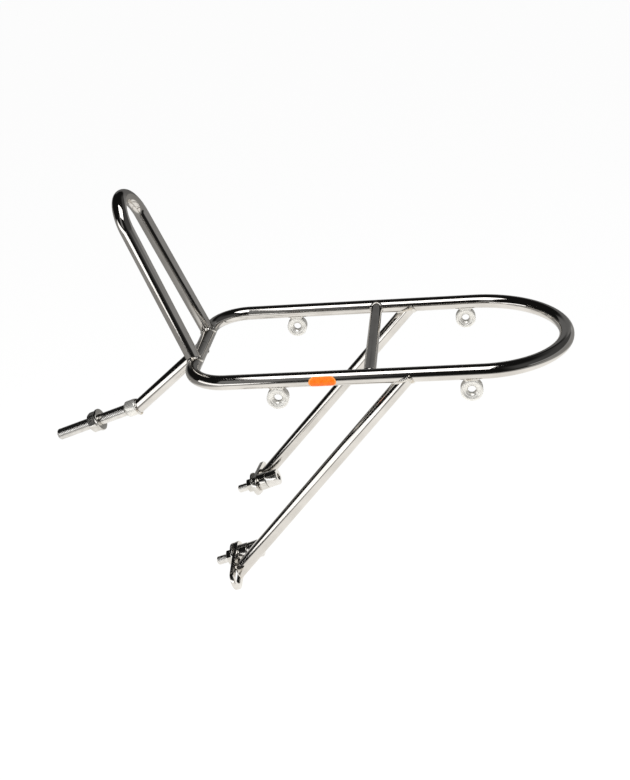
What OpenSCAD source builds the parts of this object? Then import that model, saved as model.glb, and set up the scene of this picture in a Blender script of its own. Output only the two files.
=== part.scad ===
// Small rear rack for a bicycle: bent tube platform, backstop hoop, centre stay
// with a threaded stud, and two struts with slotted tabs for the brake bosses.
// +X runs towards the rear of the bicycle, +Y to its right, +Z up.

/* [Tube stock] */
// Outside diameter of the main tubes
tube_d = 9.5; // [8:0.5:10.5]
// Wall thickness of every tube
tube_wall = 1; // [0.8:0.1:1.5]
// Outside diameter of the crossbar tube
crossbar_d = 8; // [6:0.5:9]

/* [Platform] */
// Distance between the centrelines of the two rails
rail_gap = 115; // [105:1:130]
// Centreline length from the end tube to the tip of the rounded end
platform_l = 244; // [225:1:280]
// Centreline bend radius of the two corners beside the backstop
corner_r = 25; // [18:1:26]
// Distance from the end tube to the crossbar
crossbar_x = 117; // [100:1:125]

/* [Backstop] */
// Distance between the centrelines of the two feet
backstop_foot_gap = 49; // [45:1:52]
// Centreline radius of the rounded top
backstop_top_r = 19; // [16:1:21]
// Centreline height, measured along the leaning hoop
backstop_h = 114.5; // [90:0.5:140]
// Lean of the hoop away from the platform, in degrees
backstop_lean = 19.5; // [0:0.5:30]

/* [Centre stay and stud] */
// How far forward of the end tube the stud boss sits
boss_reach = 57; // [45:1:70]
// How far below the platform the stud boss sits
boss_drop = 44; // [38:1:55]
// Diameter of the stud boss
boss_d = 11.5; // [11:0.5:15]
// Length of the stud boss along the stud
boss_l = 9; // [8:1:16]
// Angle of the stud below the horizontal, in degrees
stud_tilt = 18.5; // [10:0.5:25]
// Thread diameter of the stud
stud_d = 8; // [6:1:8]
// Length of the stud from the middle of the boss to its tip
stud_l = 61; // [55:0.5:80]
// Distance from the middle of the boss to the bridge washer
washer_at = 26; // [12:1:28]

/* [Struts] */
// Distance from the end tube to the top of each strut
strut_top_x = 142; // [130:1:160]
// Distance from the end tube to the foot of each strut
strut_foot_x = 16.5; // [15:0.1:20]
// Distance from the middle plane to the foot of each strut
strut_foot_y = 63; // [62:0.5:66]
// Depth of the strut feet below the platform
strut_foot_drop = 142.8; // [135:0.1:150]

/* [Brake-boss tabs] */
// Distance from the middle plane to each bolt
bolt_y = 47.5; // [45:0.5:48]
// Distance from the end tube to the front face of each tab, at the bolt
bolt_x = 14; // [12:0.5:15]
// Depth of each bolt below the platform, at the front face of the tab
bolt_drop = 139; // [138:0.5:143]
// Angle of the bolts from the horizontal, in degrees
bolt_tilt = 18; // [10:1:20]
// Angle by which the outer end of each tab hangs, in degrees
tab_hang = 8; // [0:1:12]
// Width of the tab, which is also the diameter of its round ends
tab_w = 14; // [13:0.5:16]
// Thickness of the tab
tab_t = 3; // [2.5:0.5:4]
// Distance from the bolt to the middle of the tab's inner round end
tab_in = 3.5; // [3:0.5:5]
// Distance from the bolt to the middle of the tab's outer round end
tab_out = 25; // [22:1:30]
// Width of the slot in the tab
slot_w = 6.4; // [6.2:0.1:7]

/* [Eyelets] */
// Outside diameter of each eyelet
eyelet_d = 14; // [12:0.5:16]
// Bore of each eyelet
eyelet_bore = 5.2; // [5:0.1:6.2]
// Thickness of each eyelet
eyelet_t = 6; // [5:0.5:8]
// Distance from the end tube to the front pair
front_eyelet_x = 58.3; // [50:0.1:70]
// Distance from the end tube to the rear pair
rear_eyelet_x = 180; // [170:1:185]

/* [Badge] */
// Length of the oval badge
badge_l = 17.5; // [12:0.5:20]
// Distance from the end tube to the middle of the badge
badge_x = 87.8; // [78:0.1:95]

/* [Hidden] */
$fn = 64;

left = -1;
right = 1;
steel = "silver";
bright_steel = "gainsboro";
over = 1;              // how far a cutter runs past the surface that it cuts
tube_r = tube_d / 2;
bore_d = tube_d - 2 * tube_wall;
rail_y = rail_gap / 2;
rail_end_x = platform_l - rail_y;
butt_gap = 0.2;        // closing joint of the bent hoop, under the stay's weld
weld_gap = 0.01;       // gap between a tube and what is welded to it
mitre_short = 3;       // how far short of the other tube's middle a mitred tube ends

// Backstop: each leg is the tangent from its foot to the circle of the rounded top
foot_y = backstop_foot_gap / 2;
top_s = backstop_h - backstop_top_r;
foot_to_top = norm([foot_y, top_s]);
leg_l = sqrt(pow(foot_to_top, 2) - pow(backstop_top_r, 2));
leg_in = atan(foot_y / top_s) - asin(backstop_top_r / foot_to_top);

// Stay, boss and stud
boss_at = [-boss_reach, 0, -boss_drop];
stay_top = [0.4, 0, -0.4];               // the stay meets the lower side of the end tube
stay_foot = boss_at + [1.5, 0, -1.8];    // and the back face of the boss
stud_dir = [-cos(stud_tilt), 0, -sin(stud_tilt)];
stud_back = boss_l / 2 - 2;
boss_ease = 0.5;
thread_gap = 0.05;     // radial play of a nut on its thread
face_gap = 0.05;       // play between faces that slide or turn on each other
tip_chamfer = 0.8;
groove_w = 0.8;
groove_depth = 0.3;
groove_out = 0.1;      // how much of the groove shows beyond the nut
nut_face = 0.95;       // round end face of a nut, as a share of its width across flats
washer_t = 1.6;
bridge_washer_d = 16;
bridge_washer_bore = 8.4;
bridge_nut_af = 13;
bridge_nut_h = 6.5;
nut_at = washer_at + washer_t + face_gap;
free_thread_at = nut_at + bridge_nut_h + groove_out;
free_thread_end = stud_l - tip_chamfer;

// The rack's origin: the middle of the stud's free thread, where the frame's bridge holds it
origin = boss_at + stud_dir * (free_thread_at + free_thread_end) / 2;

// Brake-boss bolt set, along the bolt from the front face of the tab
bolt_d = 6;
bolt_tip = 15.2;
small_washer_d = 18;
small_washer_bore = 6.4;
small_nut_af = 10;
small_nut_h = 5;
bolt_free_at = washer_t + 2 * face_gap + small_nut_h + groove_out;
spacer_d = 13;
spacer_bore = 6.2;
spacer_l = 6.6;
head_at = -tab_t - face_gap - spacer_l;    // where the head meets the spacer
head_d = 12.5;
head_l = 9.5;
socket_af = 5;
socket_depth = 4;

eyelet_drop = tube_r + eyelet_d / 2;
eyelet_neck_w = 8;
eyelet_chamfer = 0.8;
badge_t = 0.25;
badge_h = 7.2;
badge_turn = 7;         // how far the badge faces downwards, in degrees

// ---- Shared shapes ----

// Moves the platform's own coordinates into the rack's frame
module placed() {
    translate(-origin) children();
}

// Straight bar from point a to point b
module bar(a, b, d) {
    v = b - a;
    translate(a)
        rotate([0, acos(v[2] / norm(v)), atan2(v[1], v[0])])
            cylinder(d = d, h = norm(v));
}

// Bend in the XY plane about the origin, from angle a0, turning by a degrees
module bend(r, a0, a, d) {
    rotate([0, 0, a0])
        rotate_extrude(angle = a, $fn = 128)
            translate([r, 0])
                circle(d = d, $fn = 48);
}

module bar_along_x(x0, x1, y, z, d) {
    bar([x0, y, z], [x1, y, z], d);
}

// Cylinder that follows the outside of one rail, for notching what is welded to it
module rail_notch(side) {
    bar_along_x(-over, platform_l, side * rail_y, 0, tube_d + 2 * weld_gap);
}

// Cylinder that follows the outside of the end tube
module end_tube_notch() {
    bar([0, -rail_y, 0], [0, rail_y, 0], tube_d + 2 * weld_gap);
}

// Hexagon prism of a given width across flats, with its corners eased at both ends
module hex_block(af, h) {
    corner_r = af / cos(30) / 2;
    face_r = nut_face * af / 2;
    wide_r = corner_r + over;
    ease = (wide_r - face_r) * tan(30);
    intersection() {
        cylinder(r = corner_r, h = h, $fn = 6);
        rotate_extrude()
            polygon([[0, 0], [face_r, 0], [wide_r, ease], [wide_r, h - ease], [face_r, h], [0, h]]);
    }
}

module ring(d, bore, h) {
    difference() {
        cylinder(d = d, h = h);
        translate([0, 0, -over]) cylinder(d = bore, h = h + 2 * over);
    }
}

// Threaded rod as a plain cylinder at the thread's outside diameter, tip eased. A shallow
// groove under the nut's outer end, at groove_at, parts the thread in use from the free thread.
module rod(d, l, groove_at) {
    groove_end = groove_at + groove_w;
    cylinder(d = d, h = groove_at);
    translate([0, 0, groove_at]) cylinder(d = d - 2 * groove_depth, h = groove_w);
    translate([0, 0, groove_end]) cylinder(d = d, h = l - tip_chamfer - groove_end);
    translate([0, 0, l - tip_chamfer])
        cylinder(d1 = d, d2 = d - 2 * tip_chamfer, h = tip_chamfer);
}

module nut(af, h, d) {
    difference() {
        hex_block(af, h);
        translate([0, 0, -over]) cylinder(d = d + 2 * thread_gap, h = h + 2 * over);
    }
}

// ---- Platform ----

module hoop_path(d) {
    for (side = [left, right]) {
        bar([0, side * butt_gap / 2, 0], [0, side * (rail_y - corner_r), 0], d);
        bar([corner_r, side * rail_y, 0], [rail_end_x, side * rail_y, 0], d);
    }
    translate([corner_r, rail_y - corner_r, 0]) bend(corner_r, 90, 90, d);
    translate([corner_r, corner_r - rail_y, 0]) bend(corner_r, 180, 90, d);
    translate([rail_end_x, 0, 0]) bend(rail_y, -90, 180, d);
}

module platform_hoop() {
    color(steel)
        placed()
            difference() {
                hoop_path(tube_d);
                hoop_path(bore_d);
            }
}

module crossbar() {
    color(steel)
        placed()
            difference() {
                bar([crossbar_x, -rail_y, 0], [crossbar_x, rail_y, 0], crossbar_d);
                bar([crossbar_x, -rail_y - over, 0], [crossbar_x, rail_y + over, 0],
                    crossbar_d - 2 * tube_wall);
                rail_notch(left);
                rail_notch(right);
            }
}

// ---- Backstop ----

// Solid of one half of the hoop: a leg and its half of the rounded top, in the XY plane.
// low is how far the leg runs on below the middle of the end tube.
module half_backstop(d, low) {
    half_top = 90 - leg_in;
    difference() {
        translate([0, top_s, 0])
            rotate([0, 0, leg_in]) {
                bend(backstop_top_r, 0, half_top + over, d);
                translate([backstop_top_r, 0, 0])
                    rotate([90, 0, 0]) cylinder(d = d, h = leg_l + low);
            }
        translate([-backstop_h, 0, -tube_d]) cube([backstop_h, 2 * backstop_h, 2 * tube_d]);
    }
}

// The hoop is drawn flat, X across it and Y up it, then stood up and leaned
module backstop_hoop() {
    color(steel)
        placed()
            difference() {
                rotate([0, -backstop_lean, 0])
                    rotate([90, 0, 90])
                        for (side = [0, 1]) {
                            mirror([side, 0, 0])
                                difference() {
                                    half_backstop(tube_d, -mitre_short);
                                    half_backstop(bore_d, over);
                                }
                        }
                end_tube_notch();
            }
}

// ---- Centre stay, boss and stud ----

// Puts +Z along the stud, with its zero at the middle of the boss
module along_stud() {
    translate(boss_at) rotate([0, -90 - stud_tilt, 0]) children();
}

// Mitred to the end tube at the top and cut flat against the back of the boss
module centre_stay() {
    run = (stay_foot - stay_top) / norm(stay_foot - stay_top);
    color(steel)
        placed()
            difference() {
                bar(stay_top + run * mitre_short, stay_foot, tube_d);
                bar(stay_top, stay_foot + run * over, bore_d);
                end_tube_notch();
                along_stud()
                    translate([-boss_d, -boss_d, -boss_l / 2]) cube(2 * boss_d);
            }
}

// Barrel with eased ends and a bore for the stud
module stay_boss() {
    small_d = boss_d - 2 * boss_ease;
    color(bright_steel)
        placed()
            along_stud()
                difference() {
                    translate([0, 0, -boss_l / 2]) {
                        cylinder(d1 = small_d, d2 = boss_d, h = boss_ease);
                        translate([0, 0, boss_ease])
                            cylinder(d = boss_d, h = boss_l - 2 * boss_ease);
                        translate([0, 0, boss_l - boss_ease])
                            cylinder(d1 = boss_d, d2 = small_d, h = boss_ease);
                    }
                    translate([0, 0, -stud_back]) cylinder(d = stud_d, h = boss_l + over);
                }
}

module bridge_stud() {
    color(bright_steel)
        placed()
            along_stud()
                translate([0, 0, -stud_back])
                    rod(stud_d, stud_l + stud_back, stud_back + free_thread_at - groove_w);
}

module bridge_washer() {
    color(bright_steel)
        placed()
            along_stud()
                translate([0, 0, washer_at])
                    ring(bridge_washer_d, bridge_washer_bore, washer_t);
}

module bridge_nut() {
    color(bright_steel)
        placed()
            along_stud()
                translate([0, 0, nut_at]) nut(bridge_nut_af, bridge_nut_h, stud_d);
}

// ---- Struts, tabs and their bolts ----

// Puts +X outwards along the tab, +Z forwards along the bolt and the zero on the
// bolt's axis at the front face of the tab. The tab lies in negative Z.
module at_tab(side) {
    translate([bolt_x, side * bolt_y, -bolt_drop])
        rotate([0, -90 - bolt_tilt, 0])
            rotate([0, 0, side * 90])
                children();
}

// The top is cut short of the rail's middle, so that its two horns reach round the
// lower half of the rail
module strut(side) {
    top = [strut_top_x, side * rail_y, 0];
    foot = [strut_foot_x, side * strut_foot_y, -strut_foot_drop];
    run = (top - foot) / norm(top - foot);
    spare = tube_d;
    color(steel)
        placed()
            difference() {
                bar(foot - run * spare, top - run * mitre_short, tube_d);
                bar(foot - run * (spare + over), top, bore_d);
                rail_notch(side);
                at_tab(side) translate([-tab_out, -tab_out, -tab_t]) cube(3 * tab_out);
            }
}

// Outline with two round ends, along X
module slot_outline(d) {
    for (x = [-tab_in, tab_out]) {
        translate([x, 0]) circle(d = d);
    }
    translate([-tab_in, -d / 2]) square([tab_in + tab_out, d]);
}

module tab(side) {
    color(bright_steel)
        placed()
            at_tab(side)
                rotate([0, 0, side * tab_hang])
                    translate([0, 0, -tab_t])
                        difference() {
                            linear_extrude(tab_t) slot_outline(tab_w);
                            translate([0, 0, -over])
                                linear_extrude(tab_t + 2 * over) slot_outline(slot_w);
                        }
}

module tab_bolt(side) {
    color(bright_steel)
        placed()
            at_tab(side)
                difference() {
                    union() {
                        translate([0, 0, head_at - head_l]) cylinder(d = head_d, h = head_l);
                        translate([0, 0, head_at])
                            rod(bolt_d, bolt_tip - head_at, bolt_free_at - groove_w - head_at);
                    }
                    translate([0, 0, head_at - head_l - over])
                        cylinder(d = socket_af / cos(30), h = socket_depth + over, $fn = 6);
                }
}

module tab_spacer(side) {
    color(bright_steel)
        placed()
            at_tab(side)
                translate([0, 0, head_at]) ring(spacer_d, spacer_bore, spacer_l);
}

module tab_washer(side) {
    color(bright_steel)
        placed()
            at_tab(side)
                translate([0, 0, face_gap]) ring(small_washer_d, small_washer_bore, washer_t);
}

module tab_nut(side) {
    color(bright_steel)
        placed()
            at_tab(side)
                translate([0, 0, washer_t + 2 * face_gap])
                    nut(small_nut_af, small_nut_h, bolt_d);
}

// ---- Eyelets and badge ----

// Round boss under a rail, with a short neck that fits the tube
module eyelet(x, side) {
    color(bright_steel)
        placed()
            difference() {
                union() {
                    translate([x, side * rail_y, -eyelet_drop])
                        rotate([90, 0, 0])
                            cylinder(d = eyelet_d, h = eyelet_t, center = true);
                    translate([x - eyelet_neck_w / 2, side * rail_y - eyelet_t / 2,
                               -eyelet_drop + eyelet_bore / 2 + over])
                        cube([eyelet_neck_w, eyelet_t, eyelet_d / 2]);
                }
                rail_notch(side);
                translate([x, side * rail_y, -eyelet_drop])
                    rotate([90, 0, 0]) {
                        cylinder(d = eyelet_bore, h = eyelet_t + 2 * over, center = true);
                        for (end = [-1, 1]) {
                            translate([0, 0, end * eyelet_t / 2])
                                rotate([90 - end * 90, 0, 0])
                                    translate([0, 0, -eyelet_chamfer])
                                        cylinder(d1 = eyelet_bore,
                                                 d2 = eyelet_bore + 2 * eyelet_chamfer,
                                                 h = eyelet_chamfer);
                        }
                    }
            }
}

// Thin oval that wraps round the outer face of the left rail
module badge() {
    end_r = badge_h / 2;
    mid = badge_l / 2 - end_r;
    color("darkorange")
        placed()
            intersection() {
                difference() {
                    bar_along_x(badge_x - badge_l, badge_x + badge_l, -rail_y, 0,
                                tube_d + 2 * badge_t);
                    bar_along_x(badge_x - 2 * badge_l, badge_x + 2 * badge_l, -rail_y, 0, tube_d);
                }
                translate([badge_x, -rail_y, 0])
                    rotate([90 + badge_turn, 0, 0])
                        linear_extrude(tube_d) {
                            for (x = [-mid, mid]) {
                                translate([x, 0]) circle(r = end_r);
                            }
                            translate([-mid, -end_r]) square([2 * mid, badge_h]);
                        }
            }
}

platform_hoop();
crossbar();
backstop_hoop();
centre_stay();
stay_boss();
bridge_stud();
bridge_washer();
bridge_nut();
strut(left);  // left_strut
strut(right);  // right_strut
tab(left);  // left_tab
tab(right);  // right_tab
tab_bolt(left);  // left_bolt
tab_bolt(right);  // right_bolt
tab_spacer(left);  // left_spacer
tab_spacer(right);  // right_spacer
tab_washer(left);  // left_washer
tab_washer(right);  // right_washer
tab_nut(left);  // left_nut
tab_nut(right);  // right_nut
eyelet(front_eyelet_x, left);  // front_left_eyelet
eyelet(front_eyelet_x, right);  // front_right_eyelet
eyelet(rear_eyelet_x, left);  // rear_left_eyelet
eyelet(rear_eyelet_x, right);  // rear_right_eyelet
badge();
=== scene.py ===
"""Rear rack for a bicycle: the visual model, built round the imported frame.

Lengths are in millimetres in the design's own axes, whose zero is the middle of the end
tube, until at() turns them into metres in the rack's frame.
"""

import math

import bmesh
import bpy
import numpy as np
from mathutils import Matrix, Vector


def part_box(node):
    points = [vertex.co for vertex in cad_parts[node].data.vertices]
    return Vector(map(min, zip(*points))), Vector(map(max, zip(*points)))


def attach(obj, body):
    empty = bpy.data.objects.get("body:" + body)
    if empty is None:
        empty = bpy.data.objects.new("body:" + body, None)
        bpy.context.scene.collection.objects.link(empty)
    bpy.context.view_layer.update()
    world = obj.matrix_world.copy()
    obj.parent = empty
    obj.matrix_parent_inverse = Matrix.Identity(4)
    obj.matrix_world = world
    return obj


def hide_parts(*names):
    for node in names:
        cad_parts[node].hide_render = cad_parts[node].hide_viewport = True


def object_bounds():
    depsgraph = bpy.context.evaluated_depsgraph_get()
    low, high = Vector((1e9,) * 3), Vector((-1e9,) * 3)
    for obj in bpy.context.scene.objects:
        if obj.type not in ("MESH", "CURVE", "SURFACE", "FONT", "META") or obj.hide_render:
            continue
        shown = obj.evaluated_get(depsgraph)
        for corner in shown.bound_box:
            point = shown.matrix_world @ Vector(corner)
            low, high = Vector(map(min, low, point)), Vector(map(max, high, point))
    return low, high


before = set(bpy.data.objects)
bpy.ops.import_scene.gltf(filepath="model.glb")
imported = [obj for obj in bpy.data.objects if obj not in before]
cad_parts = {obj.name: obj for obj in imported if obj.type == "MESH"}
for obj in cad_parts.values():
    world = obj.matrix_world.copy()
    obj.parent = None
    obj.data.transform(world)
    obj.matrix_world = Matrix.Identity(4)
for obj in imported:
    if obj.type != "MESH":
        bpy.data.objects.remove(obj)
cad_low, cad_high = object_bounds()

MM = 0.001
TAU = 2 * math.pi

# ---------------------------------------------------------------- driving dimensions

hoop_low, hoop_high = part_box("platform_hoop")
bar_low, bar_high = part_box("crossbar")
TUBE_R = (hoop_high.z - hoop_low.z) / 2 / MM
ZERO = Vector((hoop_low.x + TUBE_R * MM, 0, (hoop_low.z + hoop_high.z) / 2))
RAIL_Y = hoop_high.y / MM - TUBE_R
TIP_X = (hoop_high.x - hoop_low.x) / MM - 2 * TUBE_R
CROSSBAR_R = (bar_high.x - bar_low.x) / 2 / MM
CROSSBAR_X = ((bar_high.x + bar_low.x) / 2 - ZERO.x) / MM
CORNER_R = 25.0
BUTT_GAP = 0.2

BACKSTOP_FOOT_Y = 24.5
BACKSTOP_TOP_R = 19.0
BACKSTOP_H = 114.5
BACKSTOP_LEAN = math.radians(19.5)

BOSS_AT = np.array([-57.0, 0, -44.0])
BOSS_R = 5.75
BOSS_L = 9.0
STAY_TOP = np.array([0.4, 0, -0.4])
STAY_FOOT = BOSS_AT + np.array([1.5, 0, -1.8])
STUD_TILT = math.radians(18.5)
STUD_R = 4.0
STUD_L = 61.0
STUD_PITCH = 1.25
WASHER_T = 1.6
WASHER_AT = 26.0
BRIDGE_WASHER_R = 8.0
BRIDGE_NUT_AF = 13.0
BRIDGE_NUT_H = 6.5
FACE_GAP = 0.05

STRUT_TOP_X = 142.0
STRUT_FOOT = np.array([16.5, 63.0, -142.8])
BOLT_AT = np.array([14.0, 47.5, -139.0])
BOLT_TILT = math.radians(18)
TAB_HANG = math.radians(8)
TAB_W = 14.0
TAB_T = 3.0
TAB_IN = 3.5
TAB_OUT = 25.0
SLOT_W = 6.4
BOLT_R = 3.0
BOLT_PITCH = 1.0
BOLT_TIP = 15.2
SPACER_R = 6.5
SPACER_L = 6.6
HEAD_R = 6.25
HEAD_L = 9.5
SOCKET_AF = 5.0
SOCKET_DEPTH = 4.0
SMALL_WASHER_R = 9.0
SMALL_NUT_AF = 10.0
SMALL_NUT_H = 5.0

EYELET_X = {"front": 58.3, "rear": 180.0}
EYELET_R = 7.0
EYELET_BORE_R = 2.6
EYELET_T = 6.0
EYELET_DROP = TUBE_R + EYELET_R
NECK_W = 8.0

BADGE_X = 87.8
BADGE_L = 17.5
BADGE_H = 7.2
BADGE_TURN = math.radians(7)

SIDES = {"left": -1, "right": 1}


def at(p):
    """A design point, in millimetres, as a point in the rack's frame, in metres."""
    return np.asarray(p, float) * MM + np.array(ZERO)


def unit(v):
    """The vector, or each row of an array of them, at length one."""
    v = np.asarray(v, float)
    return v / np.linalg.norm(v, axis=-1, keepdims=True)


# ---------------------------------------------------------------- node helpers


class Nodes:
    """Short calls for building a node tree."""

    def __init__(self, tree):
        self.tree = tree
        tree.nodes.clear()

    def add(self, kind, **settings):
        node = self.tree.nodes.new(kind)
        for key, value in settings.items():
            if key in node.inputs:
                node.inputs[key].default_value = value
            else:
                setattr(node, key, value)
        return node

    def link(self, source, node, socket):
        self.tree.links.new(source, node.inputs[socket])

    def noise(self, vector, scale, detail):
        node = self.add("ShaderNodeTexNoise", Scale=scale, Detail=detail)
        self.link(vector, node, "Vector")
        return node.outputs["Fac"]

    def stretched(self, vector, scale):
        node = self.add("ShaderNodeMapping", Scale=scale)
        self.link(vector, node, "Vector")
        return node.outputs["Vector"]

    def ramp(self, value, low, high, to_low, to_high):
        node = self.add("ShaderNodeMapRange")
        node.interpolation_type = "SMOOTHSTEP"
        for key, number in zip(("From Min", "From Max", "To Min", "To Max"),
                               (low, high, to_low, to_high)):
            node.inputs[key].default_value = number
        self.link(value, node, "Value")
        return node.outputs["Result"]

    def blend(self, fac, a, b):
        """Colour a where fac is 0 and b where it is 1; a and b are colours or sockets."""
        node = self.add("ShaderNodeMix")
        node.data_type = "RGBA"
        self.link(fac, node, 0)
        for index, colour in ((6, a), (7, b)):
            if isinstance(colour, tuple):
                node.inputs[index].default_value = (*colour, 1)
            else:
                self.link(colour, node, index)
        return node.outputs[2]

    def maths(self, operation, a, b):
        node = self.add("ShaderNodeMath", operation=operation)
        for index, value in ((0, a), (1, b)):
            if isinstance(value, (int, float)):
                node.inputs[index].default_value = value
            else:
                self.link(value, node, index)
        return node.outputs[0]

    def bump(self, height, distance, strength, after=None):
        node = self.add("ShaderNodeBump", Distance=distance, Strength=strength)
        self.link(height, node, "Height")
        if after is not None:
            self.link(after, node, "Normal")
        return node.outputs["Normal"]


def shader(name, metallic):
    """A new material with one Principled shader, and its node helper."""
    material = bpy.data.materials.new(name)
    material.use_nodes = True
    nodes = Nodes(material.node_tree)
    out = nodes.add("ShaderNodeOutputMaterial")
    bsdf = nodes.add("ShaderNodeBsdfPrincipled", Metallic=metallic)
    nodes.link(bsdf.outputs["BSDF"], out, "Surface")
    return material, nodes, bsdf


# ---------------------------------------------------------------- materials

STEEL_LIGHT = (0.76, 0.735, 0.70)
STEEL_DARK = (0.64, 0.615, 0.58)


def polished_tube():
    """Mirror-polished stainless tube: faint drawing lines, buffing rings and a slight waviness.
    The attribute "straight" holds each point's place on the tube as if it weren't bent."""
    material, n, bsdf = shader("polished_tube", 1.0)
    straight = n.add("ShaderNodeAttribute", attribute_name="straight").outputs["Vector"]
    cloud = n.noise(straight, 45, 3)
    lines = n.noise(n.stretched(straight, (1, 1, 0.02)), 2600, 2)
    rings = n.noise(n.stretched(straight, (0.1, 0.1, 1)), 1500, 3)
    wave = n.noise(n.stretched(straight, (1, 1, 0.35)), 90, 1)
    specks = n.ramp(n.noise(straight, 900, 2), 0.66, 0.74, 0, 1)
    colour = n.blend(n.ramp(cloud, 0.3, 0.7, 0, 1), STEEL_LIGHT, STEEL_DARK)
    n.link(n.blend(n.maths("MULTIPLY", specks, 0.35), colour, STEEL_DARK), bsdf, "Base Color")
    rough = n.maths("ADD", n.ramp(cloud, 0.35, 0.7, 0.045, 0.085),
                    n.maths("MULTIPLY", n.ramp(rings, 0.35, 0.7, 0, 1), 0.035))
    n.link(n.maths("ADD", rough, n.maths("MULTIPLY", specks, 0.12)), bsdf, "Roughness")
    normal = n.bump(wave, 0.0007, 0.08)
    normal = n.bump(lines, 0.000012, 0.15, normal)
    n.link(n.bump(rings, 0.00001, 0.12, normal), bsdf, "Normal")
    return material


def polished_fitting():
    """Tabs: sheared stainless plate, polished after welding."""
    material, n, bsdf = shader("polished_fitting", 1.0)
    place = n.add("ShaderNodeTexCoord").outputs["Object"]
    cloud = n.noise(place, 160, 4)
    brush = n.noise(n.stretched(place, (1, 0.08, 1)), 3000, 3)
    colour = n.blend(n.ramp(cloud, 0.3, 0.7, 0, 1), (0.82, 0.80, 0.765), (0.70, 0.675, 0.635))
    n.link(colour, bsdf, "Base Color")
    n.link(n.maths("ADD", n.ramp(cloud, 0.3, 0.75, 0.09, 0.17),
                   n.maths("MULTIPLY", brush, 0.05)), bsdf, "Roughness")
    n.link(n.bump(brush, 0.00002, 0.15), bsdf, "Normal")
    return material


def satin_steel():
    """Pale satin stainless of the boss and eyelets. It is less than fully metallic, so that
    it scatters light from the fill as well as mirroring the room."""
    material, n, bsdf = shader("satin_steel", 0.62)
    place = n.add("ShaderNodeTexCoord").outputs["Object"]
    cloud = n.noise(place, 240, 4)
    grain = n.noise(place, 2600, 3)
    pits = n.ramp(n.noise(place, 1100, 2), 0.64, 0.74, 0, 1)
    colour = n.blend(n.ramp(cloud, 0.3, 0.7, 0, 1), (0.97, 0.955, 0.91), (0.90, 0.88, 0.83))
    n.link(n.blend(n.maths("MULTIPLY", pits, 0.12), colour, (0.55, 0.52, 0.48)),
           bsdf, "Base Color")
    n.link(n.maths("ADD", n.ramp(cloud, 0.3, 0.75, 0.26, 0.34),
                   n.maths("MULTIPLY", grain, 0.08)), bsdf, "Roughness")
    n.link(n.bump(grain, 0.00001, 0.08), bsdf, "Normal")
    return material


def plated_fastener():
    """Bright plated steel of the nuts, washers and spacers."""
    material, n, bsdf = shader("plated_fastener", 1.0)
    place = n.add("ShaderNodeTexCoord").outputs["Object"]
    cloud = n.noise(place, 220, 4)
    grain = n.noise(place, 2400, 3)
    marks = n.ramp(n.noise(place, 700, 2), 0.60, 0.70, 0, 1)
    colour = n.blend(n.ramp(cloud, 0.3, 0.7, 0, 1), (0.78, 0.765, 0.73), (0.62, 0.60, 0.565))
    n.link(n.blend(n.maths("MULTIPLY", marks, 0.4), colour, (0.46, 0.44, 0.40)),
           bsdf, "Base Color")
    n.link(n.maths("ADD", n.ramp(cloud, 0.3, 0.75, 0.08, 0.16),
                   n.maths("MULTIPLY", grain, 0.08)), bsdf, "Roughness")
    n.link(n.bump(grain, 0.00002, 0.15), bsdf, "Normal")
    return material


def thread_steel():
    """Stud and bolts with their rolled threads: bright, with a soft sheen."""
    material, n, bsdf = shader("thread_steel", 1.0)
    place = n.add("ShaderNodeTexCoord").outputs["Object"]
    cloud = n.noise(place, 240, 4)
    grain = n.noise(place, 2000, 3)
    colour = n.blend(n.ramp(cloud, 0.3, 0.7, 0, 1), (0.86, 0.845, 0.815), (0.72, 0.70, 0.67))
    n.link(colour, bsdf, "Base Color")
    n.link(n.maths("ADD", n.ramp(cloud, 0.3, 0.75, 0.13, 0.20),
                   n.maths("MULTIPLY", grain, 0.05)), bsdf, "Roughness")
    n.link(n.bump(grain, 0.00001, 0.10), bsdf, "Normal")
    return material


def weld_metal():
    """Cleaned weld: bright and lumpy, with a little straw tint left in the hollows."""
    material, n, bsdf = shader("weld_metal", 1.0)
    place = n.add("ShaderNodeTexCoord").outputs["Object"]
    lumps = n.noise(place, 900, 3)
    tint = n.noise(place, 260, 3)
    colour = n.blend(n.ramp(tint, 0.45, 0.75, 0, 1), (0.80, 0.78, 0.74), (0.60, 0.53, 0.43))
    n.link(colour, bsdf, "Base Color")
    n.link(n.ramp(lumps, 0.3, 0.7, 0.14, 0.32), bsdf, "Roughness")
    n.link(n.bump(lumps, 0.0002, 0.25), bsdf, "Normal")
    return material


def badge_face():
    """Fluorescent orange film under a thin clear coat, with a faint paler fleck. Its colour is
    also given a little painted glow, an emission, though the badge is no lamp."""
    material, n, bsdf = shader("badge_face", 0.0)
    bsdf.inputs["Coat Weight"].default_value = 0.15
    bsdf.inputs["Coat Roughness"].default_value = 0.12
    bsdf.inputs["Specular IOR Level"].default_value = 0.25
    place = n.add("ShaderNodeTexCoord").outputs["Object"]
    cloud = n.noise(place, 420, 4)
    fleck = n.ramp(n.noise(place, 1500, 2), 0.60, 0.70, 0, 1)
    colour = n.blend(n.ramp(cloud, 0.3, 0.7, 0, 1), (1.0, 0.14, 0.001), (1.0, 0.20, 0.004))
    film_and_painted_glow = n.blend(n.maths("MULTIPLY", fleck, 0.25), colour, (1.0, 0.30, 0.03))
    n.link(film_and_painted_glow, bsdf, "Base Color")
    # painted glow: the film's colour is also emitted, though the badge is no lamp
    n.link(film_and_painted_glow, bsdf, "Emission Color")
    bsdf.inputs["Emission Strength"].default_value = 0.15
    n.link(n.ramp(cloud, 0.3, 0.7, 0.28, 0.45), bsdf, "Roughness")
    n.link(n.bump(cloud, 0.0001, 0.3), bsdf, "Normal")
    return material


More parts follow.
